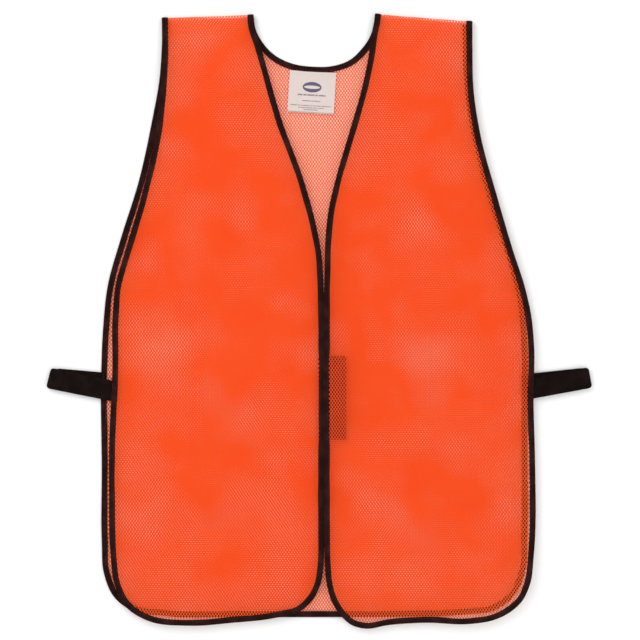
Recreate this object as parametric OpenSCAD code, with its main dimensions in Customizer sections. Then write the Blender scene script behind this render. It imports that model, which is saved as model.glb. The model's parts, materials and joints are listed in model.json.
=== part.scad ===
// Blaze orange mesh safety vest, lying flat on its back panel with the front closed.
//
// Frame: +Z up, +Y towards the neck, +X towards the wearer's left side.
// The origin is under the middle of the vest, at the level of the surface it lies on.
// The vest is one mesh cloth, folded over at both shoulders and split down the front.
// A binding strip wraps every cut edge, and an elastic strap joins front and back at each side.

/* [Overall size] */
// Width of the vest lying flat, without the side straps
body_width = 530; // [490:5:570]
// Length of the vest lying flat, shoulder fold to hem
body_length = 749; // [700:5:800]
// Open height between the back and the fronts
layer_gap = 4.2; // [4.2:0.1:8]

/* [Cloth and binding] */
// Thickness of the mesh cloth
cloth_t = 0.6; // [0.4:0.1:0.9]
// Width of the binding strip
binding_w = 7.2; // [5:0.1:10]
// Thickness of the folded binding strip
binding_t = 2.0; // [1.6:0.1:2.4]
// Depth that a cloth edge stands back from the binding's outer edge
binding_fold = 1.0; // [0.8:0.1:2]

/* [Side straps] */
// Width of the elastic
strap_w = 25.4; // [20:0.1:30]
// Thickness of the elastic
strap_t = 1.2; // [0.8:0.1:1.4]
// Length of elastic sewn onto each binding
strap_lap = 6.6; // [4:0.1:7]

/* [Closure] */
// Length of the hook patch and of the loop tab
closure_l = 102; // [60:1:120]
// Visible width of the hook patch
hook_w = 19.4; // [15:0.1:25]
// Distance of the closure's upper end below the middle of the vest
closure_drop = 43; // [20:1:60]

/* [Care label] */
// Width of the care label
label_w = 57; // [30:1:60]
// Height of the care label
label_h = 49; // [30:1:60]
// Height of the strip that is sewn down
label_seam_h = 2.5; // [2:0.1:5]
// Thickness of the care label
label_t = 0.4; // [0.2:0.05:0.5]

/* [Hidden] */

orange = [0.96, 0.36, 0.16];
orange_light = [0.98, 0.45, 0.25];
black = [0.13, 0.07, 0.07];
elastic_black = [0.1, 0.06, 0.06];
label_cream = [0.88, 0.8, 0.78];
hook_black = [0.15, 0.08, 0.075];
thread_brown = [0.3, 0.16, 0.14];

// The edge points below are for this size, and stretch with the driving sizes.
nominal_width = 530;
nominal_length = 749;
stretch_x = body_width / nominal_width;
stretch_y = body_length / nominal_length;
function fit(p) = [p[0] * stretch_x, p[1] * stretch_y];
function fit_all(points) = [for (p = points) fit(p)];

// Heights of the layers
cloth_play = 0.05;
back_z = 0;
front_z = back_z + binding_t + layer_gap;
function cloth_z(z) = z + (binding_t - cloth_t) / 2;
fold_z = (back_z + front_z + binding_t) / 2;
fold_r = (front_z + binding_t - back_z) / 2;
seat_gap = 0.3;
strap_back_z = back_z + binding_t;
strap_front_z = front_z - strap_t;
bartack_t = 0.25;
hook_t = 1.4;
hook_z = cloth_z(front_z) - hook_t;
hook_gap = 0.3;
loop_t = 1.3;
loop_z = hook_z - seat_gap - loop_t;
label_z = cloth_z(back_z) + cloth_t + cloth_play;

// Clearances between bodies
flap_gap = 0.4;
shoulder_gap = 1.4;
strap_root_gap = 3;
strap_back_gap = 1.6;
fold_clear = 0.3;
joint_overlap = 0.1;

// Steps of each curve between two edge points
curve_steps = 5;

// ---------------------------------------------------------------- edges

// Edge of the back, from the right shoulder round the hem to the left shoulder
BACK_EDGE = fit_all([
    [-191, 385], [-192, 340], [-195, 296], [-204, 245], [-220, 172], [-243, 98],
    [-258, 44], [-264, -11], [-266.5, -80],
    [-265.5, -180], [-265.5, -270], [-263, -308], [-250, -338],
    [-228, -354.5], [-190, -360.5], [-95, -362], [0, -362], [95, -361.5], [175, -359],
    [216, -353], [240, -334], [252, -305],
    [254.5, -260], [254.5, -150], [254, -20],
    [250, 25], [236, 80], [215, 146], [200, 200], [190, 250], [184, 300], [183, 345], [183, 385]
]);
BACK_CORNERS = [7, 12, 20, 24];   // armhole ends, hem ends

// Edge of the back neck, from the left shoulder to the right shoulder
BACK_NECK_EDGE = fit_all([
    [69, 390], [67.5, 366], [62, 347], [51, 331], [38, 319], [20, 312], [-8, 310.5],
    [-35, 315], [-54, 324.5], [-69, 340], [-77, 355], [-79.5, 390]
]);

// Edge of the right front, from the shoulder down the armhole, along the hem,
// up the middle and along the neck
RIGHT_EDGE = fit_all([
    [-192, 385], [-192, 300], [-199, 232], [-216, 154], [-238, 80],
    [-248, 44], [-251.5, 8],
    [-252, -60], [-255.5, -140], [-256, -212], [-254, -285], [-249, -322],
    [-234, -350], [-210, -365],
    [-158, -371.5], [-106, -368], [-48, -361], [-22, -353.5],
    [-8, -340.5], [1.5, -322], [5.3, -300],
    [5.8, -275], [5.8, -250], [5.8, -10], [5.8, 15],
    [5.3, 45], [3, 80], [-4, 118], [-19, 172], [-45.5, 245], [-61.5, 300], [-72, 337], [-78.5, 357],
    [-79.5, 390]
]);
RIGHT_CORNERS = [6, 12, 20, 25];  // armhole end, hem start, hem end, start of the neck

// Edge of the left front, from the neck down the middle, along the hem,
// and up the side and armhole
LEFT_EDGE = fit_all([
    [69, 390], [67.5, 368], [64, 350], [59.5, 318], [51.5, 281], [36, 227], [20, 172], [11.5, 135],
    [8, 105], [6.7, 60],
    [6.2, 35], [6.2, 10], [6.2, -240], [6.2, -265],
    [6.7, -290],
    [9.5, -322], [15, -341], [27, -360], [40, -371], [56, -375.2], [84, -371],
    [128, -368], [186, -369], [211, -365], [231, -356],
    [247.5, -341], [256.5, -322], [261.5, -286],
    [263.2, -170], [261.5, -100], [262, -30],
    [258.5, 7], [250, 44], [238, 80], [216.5, 153], [196.5, 227], [188, 285], [187, 330], [187, 385]
]);
LEFT_CORNERS = [9, 14, 25, 31];   // end of the neck, hem start, hem end, armhole start

// The straight middle edges of the two fronts
RIGHT_MIDDLE = RIGHT_EDGE[RIGHT_CORNERS[2] + 2][0];
LEFT_MIDDLE = LEFT_EDGE[LEFT_CORNERS[0] + 2][0];

// Shoulder fold axes, from the neck end to the arm end
RIGHT_SHOULDER = fit_all([[-79.5, 370.2], [-192, 366.3]]);
LEFT_SHOULDER = fit_all([[68.2, 371.2], [187, 361.9]]);

// Lines on which a front folds open, from the neck edge to the hem
RIGHT_FLAP_LINE = fit_all([[-69.7, 300], [-114.8, -365]]);
LEFT_FLAP_LINE = fit_all([[63.3, 300], [214.6, -365]]);

// Straps: sewn end on the back, fold and sewn end on the front, each at the strap's middle,
// then the direction of its width there
RIGHT_STRAP_BACK = fit([-266.4, -75.5]);
RIGHT_STRAP_FOLD = fit([-328.2, -70]);
RIGHT_STRAP_FRONT = fit([-252.3, -85.5]);
RIGHT_FOLD_TURN = 14;
LEFT_STRAP_BACK = fit([254.3, -77.5]);
LEFT_STRAP_FOLD = fit([329, -69.5]);
LEFT_STRAP_FRONT = fit([262, -82]);
LEFT_FOLD_TURN = -10.5;

// Closure, and the care label's sewn edge
closure_top = -closure_drop;
LABEL_TOP = fit([-7.5, 302.6]);
LABEL_TURN = -3.5;

// ---------------------------------------------------------------- curves

function gap(a, b) = norm(b - a);

// Direction of the curve at edge point i, weighted by the lengths of the spans beside it
function heading(p, i) =
    i == 0 ? (p[1] - p[0]) / gap(p[0], p[1])
    : i == len(p) - 1 ? (p[i] - p[i - 1]) / gap(p[i - 1], p[i])
    : let (a = gap(p[i - 1], p[i]), b = gap(p[i], p[i + 1]))
        ((p[i] - p[i - 1]) / a * b + (p[i + 1] - p[i]) / b * a) / (a + b);

// Point at t, 0 to 1, on the smooth curve between edge points i and i + 1
function on_span(p, i, t) =
    let (s = gap(p[i], p[i + 1]), u = heading(p, i) * s, v = heading(p, i + 1) * s)
        p[i] * (2 * t * t * t - 3 * t * t + 1) + u * (t * t * t - 2 * t * t + t)
        + p[i + 1] * (3 * t * t - 2 * t * t * t) + v * (t * t * t - t * t);

// Smooth curve through the edge points
function curve(p) = concat(
    [for (i = [0:len(p) - 2]) for (k = [0:curve_steps - 1]) on_span(p, i, k / curve_steps)],
    [p[len(p) - 1]]
);

// The stretch of a curve between edge points first and last, with extra steps at both ends
function stretch(c, first, last, extra) = [
    for (i = [max(first * curve_steps - extra, 0):min(last * curve_steps + extra, len(c) - 1)]) c[i]
];

// The same curve moved d to its left, which is into the cloth
function left_of(u) = [-u[1], u[0]] / norm(u);
function inset(c, d) = [
    for (i = [0:len(c) - 1])
        c[i] + d * left_of(c[min(i + 1, len(c) - 1)] - c[max(i - 1, 0)])
];
function reversed(c) = [for (i = [len(c) - 1:-1:0]) c[i]];

// ---------------------------------------------------------------- plan shapes

// Strip between two distances from an edge, over a stretch of it
module strip(points, first, last, extra, near, far) {
    c = curve(points);
    polygon(concat(
        stretch(inset(c, near), first, last, extra),
        reversed(stretch(inset(c, far), first, last, extra))
    ));
}

// Everything on the left of the line from a to b, from d away
module left_side(a, b, d) {
    reach = 1200;
    along = (b - a) / norm(b - a);
    across = left_of(along);
    polygon([
        a - along * reach + across * d, b + along * reach + across * d,
        b + along * reach + across * reach, a - along * reach + across * reach
    ]);
}

// Below the shoulder folds, from d away
module below_shoulder(line, d) {
    if (line[0][0] < line[1][0])
        left_side(line[1], line[0], d);
    else
        left_side(line[0], line[1], d);
}

// Half ring about the line from a to b, on its left side, from start to stop along it
module half_ring(a, b, z, r_in, r_out, start, stop) {
    turn = atan2(b[1] - a[1], b[0] - a[0]);
    translate([a[0], a[1], z])
        rotate([0, 0, turn])
            intersection() {
                translate([start, 0, 0])
                    rotate([0, 90, 0])
                        difference() {
                            cylinder(h = stop - start, r = r_out, $fn = 64);
                            translate([0, 0, -1])
                                cylinder(h = stop - start + 2, r = r_in, $fn = 64);
                        }
                translate([start - 1, 0, -2 * r_out])
                    cube([stop - start + 2, 2 * r_out, 4 * r_out]);
            }
}

// ---------------------------------------------------------------- cloth and binding

// Binding folded over a stretch of an edge, with the slot that the cloth's edge sits in
module binding(points, first, last, z) {
    slot = cloth_t + 2 * cloth_play;
    difference() {
        translate([0, 0, z])
            linear_extrude(binding_t)
                strip(points, first, last, 0, 0, binding_w);
        translate([0, 0, z + (binding_t - slot) / 2])
            linear_extrude(slot)
                strip(points, first, last, 1, binding_fold, binding_w + 1);
    }
}

// Keeps what lies over the plan shape that is its second child
module over(z) {
    intersection() {
        children(0);
        translate([0, 0, z - 1])
            linear_extrude(binding_t + 2)
                children(1);
    }
}

module back_area() {
    intersection() {
        below_shoulder(RIGHT_SHOULDER, shoulder_gap);
        below_shoulder(LEFT_SHOULDER, shoulder_gap);
    }
}

module back_binding(points, first, last) {
    color(black)
        over(back_z) {
            binding(points, first, last, back_z);
            back_area();
        }
}

module back_panel() {
    depth = binding_fold + cloth_play;
    color(orange_light)
        translate([0, 0, cloth_z(back_z)])
            linear_extrude(cloth_t)
                intersection() {
                    polygon(concat(inset(curve(BACK_EDGE), depth), inset(curve(BACK_NECK_EDGE), depth)));
                    back_area();
                }
}

module back_neck_binding() {
    back_binding(BACK_NECK_EDGE, 0, len(BACK_NECK_EDGE) - 1);
}

module back_right_armhole_binding() {
    back_binding(BACK_EDGE, 0, BACK_CORNERS[0]);
}

module back_right_side_binding() {
    back_binding(BACK_EDGE, BACK_CORNERS[0], BACK_CORNERS[1]);
}

module back_hem_binding() {
    back_binding(BACK_EDGE, BACK_CORNERS[1], BACK_CORNERS[2]);
}

module back_left_side_binding() {
    back_binding(BACK_EDGE, BACK_CORNERS[2], BACK_CORNERS[3]);
}

module back_left_armhole_binding() {
    back_binding(BACK_EDGE, BACK_CORNERS[3], len(BACK_EDGE) - 1);
}

// ---------------------------------------------------------------- fronts

// The part of a front that stays at its side, or the flap that folds open.
// outer_sign is 1 where the side lies on the left of the flap line.
module front_part(shoulder, line, outer_sign, flap) {
    keep_left = flap ? -outer_sign : outer_sign;
    intersection() {
        below_shoulder(shoulder, 0);
        if (keep_left > 0)
            left_side(line[0], line[1], flap_gap / 2);
        else
            left_side(line[1], line[0], flap_gap / 2);
    }
}

module right_part(flap) {
    front_part(RIGHT_SHOULDER, RIGHT_FLAP_LINE, -1, flap);
}

module left_part(flap) {
    front_part(LEFT_SHOULDER, LEFT_FLAP_LINE, 1, flap);
}

module front_panel(points) {
    color(orange)
        translate([0, 0, cloth_z(front_z)])
            linear_extrude(cloth_t)
                intersection() {
                    polygon(inset(curve(points), binding_fold + cloth_play));
                    children();
                }
}

module front_binding(points, first, last) {
    color(black)
        over(front_z) {
            binding(points, first, last, front_z);
            children();
        }
}

// Cloth that turns over the shoulder, from the front's level down to the back's
module shoulder_fold(a, b) {
    inner = fold_r - (binding_t + cloth_t) / 2;
    depth = binding_fold + cloth_play;
    color(orange)
        half_ring(a, b, fold_z, inner, inner + cloth_t, depth, norm(b - a) - depth);
}

// Binding of the neck edge and of the armhole edge, turning over the shoulder
module shoulder_fold_binding(a, b) {
    span = norm(b - a);
    slot_in = fold_r - (binding_t + cloth_t) / 2 - cloth_play;
    slot_out = slot_in + cloth_t + 2 * cloth_play;
    color(black)
        difference() {
            union() {
                half_ring(a, b, fold_z, fold_r - binding_t, fold_r, 0, binding_w);
                half_ring(a, b, fold_z, fold_r - binding_t, fold_r, span - binding_w, span);
            }
            half_ring(a, b, fold_z, slot_in, slot_out, binding_fold, span - binding_fold);
        }
}

module right_front_panel() {
    front_panel(RIGHT_EDGE) right_part(false);
}

module right_flap_panel() {
    front_panel(RIGHT_EDGE) right_part(true);
}

module right_shoulder_fold() {
    shoulder_fold(RIGHT_SHOULDER[1], RIGHT_SHOULDER[0]);
}

module right_shoulder_fold_binding() {
    shoulder_fold_binding(RIGHT_SHOULDER[1], RIGHT_SHOULDER[0]);
}

module right_armhole_binding() {
    front_binding(RIGHT_EDGE, 0, RIGHT_CORNERS[0]) right_part(false);
}

module right_side_binding() {
    front_binding(RIGHT_EDGE, RIGHT_CORNERS[0], RIGHT_CORNERS[1]) right_part(false);
}

module right_hem_binding() {
    front_binding(RIGHT_EDGE, RIGHT_CORNERS[1], RIGHT_CORNERS[2]) right_part(false);
}

module right_flap_hem_binding() {
    front_binding(RIGHT_EDGE, RIGHT_CORNERS[1], RIGHT_CORNERS[2]) right_part(true);
}

module right_flap_center_binding() {
    front_binding(RIGHT_EDGE, RIGHT_CORNERS[2], RIGHT_CORNERS[3]) right_part(true);
}

module right_flap_neck_binding() {
    front_binding(RIGHT_EDGE, RIGHT_CORNERS[3], len(RIGHT_EDGE) - 1) right_part(true);
}

module right_neck_binding() {
    front_binding(RIGHT_EDGE, RIGHT_CORNERS[3], len(RIGHT_EDGE) - 1) right_part(false);
}

module left_front_panel() {
    front_panel(LEFT_EDGE) left_part(false);
}

module left_flap_panel() {
    front_panel(LEFT_EDGE) left_part(true);
}

module left_shoulder_fold() {
    shoulder_fold(LEFT_SHOULDER[0], LEFT_SHOULDER[1]);
}

module left_shoulder_fold_binding() {
    shoulder_fold_binding(LEFT_SHOULDER[0], LEFT_SHOULDER[1]);
}

module left_neck_binding() {
    front_binding(LEFT_EDGE, 0, LEFT_CORNERS[0]) left_part(false);
}

module left_flap_neck_binding() {
    front_binding(LEFT_EDGE, 0, LEFT_CORNERS[0]) left_part(true);
}

module left_flap_center_binding() {
    front_binding(LEFT_EDGE, LEFT_CORNERS[0], LEFT_CORNERS[1]) left_part(true);
}

module left_flap_hem_binding() {
    front_binding(LEFT_EDGE, LEFT_CORNERS[1], LEFT_CORNERS[2]) left_part(true);
}

module left_hem_binding() {
    front_binding(LEFT_EDGE, LEFT_CORNERS[1], LEFT_CORNERS[2]) left_part(false);
}

module left_side_binding() {
    front_binding(LEFT_EDGE, LEFT_CORNERS[2], LEFT_CORNERS[3]) left_part(false);
}

module left_armhole_binding() {
    front_binding(LEFT_EDGE, LEFT_CORNERS[3], len(LEFT_EDGE) - 1) left_part(false);
}

// ---------------------------------------------------------------- side straps

function rotated(v, a) = [v[0] * cos(a) - v[1] * sin(a), v[0] * sin(a) + v[1] * cos(a)];

// Flat piece of elastic from middle point a to middle point b, cut square at a.
// b_turn turns its end at b away from square to the X axis.
module elastic(a, b, b_turn, z) {
    half_a = [0, strap_w / 2];
    half_b = rotated([0, strap_w / 2], b_turn);
    points = [a + half_a, a - half_a, b - half_b, b + half_b];
    color(elastic_black)
        translate([0, 0, z])
            linear_extrude(strap_t)
                polygon(points);
}

// Sewn end of a strap, inwards from the middle of its root
module strap_end(root, outward, z) {
    color(elastic_black)
        translate([min(root[0], root[0] - outward * strap_lap), root[1] - strap_w / 2, z])
            cube([strap_lap, strap_w, strap_t]);
}

// Close zigzag of thread that holds a strap end
module bartack(root, outward, z) {
    bar_w = 1.6;
    bar_l = strap_w - 3;
    color(thread_brown)
        translate([root[0] - outward * strap_lap / 2 - bar_w / 2, root[1] - bar_l / 2, z])
            cube([bar_w, bar_l, bartack_t]);
}

// Lower half, from its root on the back to just short of the fold
module strap_back_half(root, fold, turn, outward) {
    start = [root[0] + outward * strap_back_gap, root[1]];
    ring = (strap_front_z + strap_t - strap_back_z) / 2;
    stop = fold - outward * rotated([ring + fold_clear, 0], turn);
    elastic(start, stop, turn, strap_back_z);
}

// Upper half with the fold, from the fold to its root on the front
module strap_front_half(root, fold, turn, outward) {
    start = [root[0] + outward * strap_root_gap, root[1]];
    ring = (strap_front_z + strap_t - strap_back_z) / 2;
    half = rotated([0, strap_w / 2], turn);
    a = outward > 0 ? fold + half : fold - half;
    b = outward > 0 ? fold - half : fold + half;
    elastic(start, fold + outward * rotated([joint_overlap, 0], turn), turn, strap_front_z);
    color(elastic_black)
        half_ring(a, b, strap_back_z + ring, ring - strap_t, ring, 0, strap_w);
}

module right_strap_back_end() {
    strap_end(RIGHT_STRAP_BACK, -1, strap_back_z);
}

module left_strap_back_end() {
    strap_end(LEFT_STRAP_BACK, 1, strap_back_z);
}

module right_strap_back_bartack() {
    bartack(RIGHT_STRAP_BACK, -1, strap_back_z + strap_t);
}

module left_strap_back_bartack() {
    bartack(LEFT_STRAP_BACK, 1, strap_back_z + strap_t);
}

module right_strap_front_end() {
    strap_end(RIGHT_STRAP_FRONT, -1, strap_front_z);
}

module left_strap_front_end() {
    strap_end(LEFT_STRAP_FRONT, 1, strap_front_z);
}

module right_strap_front_bartack() {
    bartack(RIGHT_STRAP_FRONT, -1, strap_front_z - bartack_t);
}

module left_strap_front_bartack() {
    bartack(LEFT_STRAP_FRONT, 1, strap_front_z - bartack_t);
}

module right_strap_back_half() {
    strap_back_half(RIGHT_STRAP_BACK, RIGHT_STRAP_FOLD, -RIGHT_FOLD_TURN, -1);
}

module right_strap_front_half() {
    strap_front_half(RIGHT_STRAP_FRONT, RIGHT_STRAP_FOLD, -RIGHT_FOLD_TURN, -1);
}

module left_strap_back_half() {
    strap_back_half(LEFT_STRAP_BACK, LEFT_STRAP_FOLD, -LEFT_FOLD_TURN, 1);
}

module left_strap_front_half() {
    strap_front_half(LEFT_STRAP_FRONT, LEFT_STRAP_FOLD, -LEFT_FOLD_TURN, 1);
}

// ---------------------------------------------------------------- closure

// Hook tape under the left front, against its middle binding
module hook_patch() {
    x = LEFT_MIDDLE + binding_w + hook_gap;
    color(hook_black)
        translate([x, closure_top - closure_l, hook_z])
            cube([hook_w, closure_l, hook_t]);
}

// Line of stitches round the hook tape, on top of the mesh
module hook_patch_stitching() {
    x = LEFT_MIDDLE + binding_w + hook_gap;
    margin = 1.5;
    line_w = 0.7;
    color(thread_brown)
        translate([x, closure_top - closure_l, cloth_z(front_z) + cloth_t])
            linear_extrude(bartack_t)
                difference() {
                    translate([margin, margin])
                        square([hook_w - 2 * margin, closure_l - 2 * margin]);
                    translate([margin + line_w, margin + line_w])
                        square([hook_w - 2 * (margin + line_w), closure_l - 2 * (margin + line_w)]);
                }
}

// Loop tape sewn under the right front's middle binding, reaching under the hook tape
module loop_tab() {
    edge = RIGHT_MIDDLE;
    lap = binding_w - 0.4;
    reach = LEFT_MIDDLE + binding_w + hook_gap + hook_w;
    step = 3;
    color(black)
        translate([0, closure_top - closure_l, 0])
            union() {
                translate([edge - lap, 0, front_z - loop_t])
                    cube([lap, closure_l, loop_t]);
                translate([edge - step, 0, loop_z])
                    cube([step, closure_l, front_z - loop_z]);
                translate([edge - step, 0, loop_z])
                    cube([reach - edge + step, closure_l, loop_t]);
            }
}

// Line of stitches that holds the loop tape
module loop_tab_stitching() {
    edge = RIGHT_MIDDLE;
    line_w = 0.7;
    margin = 3;
    line_in = 5.8;
    color(thread_brown)
        translate([edge - line_in, closure_top - closure_l + margin, front_z - loop_t - bartack_t])
            cube([line_w, closure_l - 2 * margin, bartack_t]);
}

// ---------------------------------------------------------------- care label

// Strip of the label that is sewn down along its upper edge
module label_seam() {
    color(label_cream)
        translate([LABEL_TOP[0], LABEL_TOP[1], label_z])
            rotate([0, 0, LABEL_TURN])
                translate([-label_w / 2, -label_seam_h, 0])
                    cube([label_w, label_seam_h, label_t]);
}

// Free part of the label, which lifts about its sewn edge
module care_label() {
    free_gap = 0.4;
    color(label_cream)
        translate([LABEL_TOP[0], LABEL_TOP[1], label_z])
            rotate([0, 0, LABEL_TURN])
                translate([-label_w / 2, -label_h, 0])
                    cube([label_w, label_h - label_seam_h - free_gap, label_t]);
}

back_panel();
back_neck_binding();
back_right_armhole_binding();
back_left_armhole_binding();
back_right_side_binding();
back_left_side_binding();
back_hem_binding();
right_strap_back_end();
left_strap_back_end();
right_strap_back_bartack();
left_strap_back_bartack();
label_seam();
care_label();
right_front_panel();
right_shoulder_fold();
right_shoulder_fold_binding();
right_armhole_binding();
right_side_binding();
right_hem_binding();
right_neck_binding();
right_strap_front_end();
right_strap_front_bartack();
right_flap_panel();
right_flap_neck_binding();
right_flap_center_binding();
right_flap_hem_binding();
loop_tab();
loop_tab_stitching();
left_front_panel();
left_shoulder_fold();
left_shoulder_fold_binding();
left_armhole_binding();
left_side_binding();
left_hem_binding();
left_neck_binding();
left_strap_front_end();
left_strap_front_bartack();
left_flap_panel();
left_flap_neck_binding();
left_flap_center_binding();
left_flap_hem_binding();
hook_patch();
hook_patch_stitching();
right_strap_back_half();
right_strap_front_half();
left_strap_back_half();
left_strap_front_half();
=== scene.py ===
"""The looks of a blaze orange mesh vest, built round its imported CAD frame."""

import json
import math

import bpy
import numpy as np
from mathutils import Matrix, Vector
from mathutils.geometry import delaunay_2d_cdt


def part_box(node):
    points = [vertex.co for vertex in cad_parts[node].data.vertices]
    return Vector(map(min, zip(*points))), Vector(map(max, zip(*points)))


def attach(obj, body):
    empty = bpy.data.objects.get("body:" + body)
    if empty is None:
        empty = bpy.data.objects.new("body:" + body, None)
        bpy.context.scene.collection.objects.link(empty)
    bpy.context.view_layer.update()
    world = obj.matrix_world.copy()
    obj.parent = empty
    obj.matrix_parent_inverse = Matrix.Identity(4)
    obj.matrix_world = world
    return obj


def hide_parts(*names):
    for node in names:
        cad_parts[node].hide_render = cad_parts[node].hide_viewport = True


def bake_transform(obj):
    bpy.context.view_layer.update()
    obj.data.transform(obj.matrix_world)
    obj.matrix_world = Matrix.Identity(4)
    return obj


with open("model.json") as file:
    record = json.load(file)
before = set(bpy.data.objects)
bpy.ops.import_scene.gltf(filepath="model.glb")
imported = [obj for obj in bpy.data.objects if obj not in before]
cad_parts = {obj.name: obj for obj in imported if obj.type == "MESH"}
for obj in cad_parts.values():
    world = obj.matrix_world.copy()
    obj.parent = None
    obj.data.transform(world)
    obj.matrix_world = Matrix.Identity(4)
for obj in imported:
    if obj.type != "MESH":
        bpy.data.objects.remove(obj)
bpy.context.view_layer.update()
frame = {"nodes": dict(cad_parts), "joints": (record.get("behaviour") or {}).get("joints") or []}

MM = 0.001
TAU = 2 * math.pi

# ---------------------------------------------------------------- sizes, in metres

TAPE_W = 7.2 * MM  # binding, from the edge inwards
TAPE_FOLD = 1.0 * MM  # how far inside the edge the cloth ends
STITCH_IN = 5.7 * MM  # stitch line, from the edge inwards
STITCH_PITCH = 3.1 * MM
STITCH_LENGTH = 2.4 * MM
THREAD_R = 0.18 * MM
CLOTH_PITCH = 4.0 * MM  # between the points of a sheet
TAPE_STEP = 2.5 * MM  # between the sections of a binding
EDGE_STEP = 0.5 * MM  # between the points of an edge line
EDGE_SKIP = 8  # a sheet's outline takes one in so many points of its edge line
STUB_SIDES, TUBE_SIDES = 5, 6
FLAP_BEND = 13 * MM  # width of the cloth that bends when a front opens
MESH_X, MESH_Y = 3.55 * MM, 5.25 * MM  # one cell of the knitted mesh
MESH_WANDER = 0.0026  # how far the rows of the mesh may stray, in metres
HOLE_RIM, HOLE_OPEN = 0.10, 0.17  # heights of the hole pattern at which yarn thins and ends
YARN_SHEER = 0.42  # share of a yarn's shading that is light let through
SWELL_WAVES = 9
BACK_SWELL, FRONT_SWELL = 0.9 * MM, 3.0 * MM  # how far slack cloth may stand up
CENTER_LAP, CLOSURE_LAP = 0.45 * MM, 1.0 * MM  # how far each front's edge laps, and more there
LAP_RISE, LAP_REACH = 0.9 * MM, 26 * MM  # how the left front rises over the right
BACK_TUCK = 1.9 * MM  # how far the back's cloth runs on under the shoulder folds
BACK_REACH = 0.7 * MM  # how far the back's bindings run on there
STRAP_LAP = 3.8 * MM  # elastic inside the sewn front end, seen when the front is lifted
STRAP_CORNER = 4 * MM  # rounding of the corners of a strap's fold
LABEL_W, LABEL_H = 57 * MM, 49 * MM
LABEL_TUCK = 1.9 * MM  # how far the label runs up inside the neck binding

# ---------------------------------------------------------------- camera, floor and light

FIELD = 0.7808  # width of the view at the object
LENS, SENSOR = 120, 36
camera_data = bpy.data.cameras.new("camera")
camera_data.lens, camera_data.sensor_width = LENS, SENSOR
camera = bpy.data.objects.new("camera", camera_data)
bpy.context.scene.collection.objects.link(camera)
camera.location = (1.1 * MM, 1.0 * MM, 5 * MM + FIELD * LENS / SENSOR)
bpy.context.scene.camera = camera
bpy.context.scene.view_settings.view_transform = "Standard"
bpy.context.scene.cycles.transparent_max_bounces = 24


def area_light(name, place, size, power):
    """Soft light at a place, aimed at the middle of the object."""
    data = bpy.data.lights.new(name, "AREA")
    data.size, data.energy = size, power
    light = bpy.data.objects.new(name, data)
    bpy.context.scene.collection.objects.link(light)
    light.location = place
    light.rotation_euler = (-Vector(place)).to_track_quat("-Z", "Y").to_euler()


area_light("key", (-1.3, 1.2, 1.5), 1.4, 15)
area_light("fill", (1.6, -0.9, 1.9), 1.8, 10)
world = bpy.data.worlds.new("studio")
world.use_nodes = True
world.node_tree.nodes["Background"].inputs["Color"].default_value = (1, 1, 1, 1)
world.node_tree.nodes["Background"].inputs["Strength"].default_value = 0.92
bpy.context.scene.world = world

# ---------------------------------------------------------------- material nodes


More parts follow.
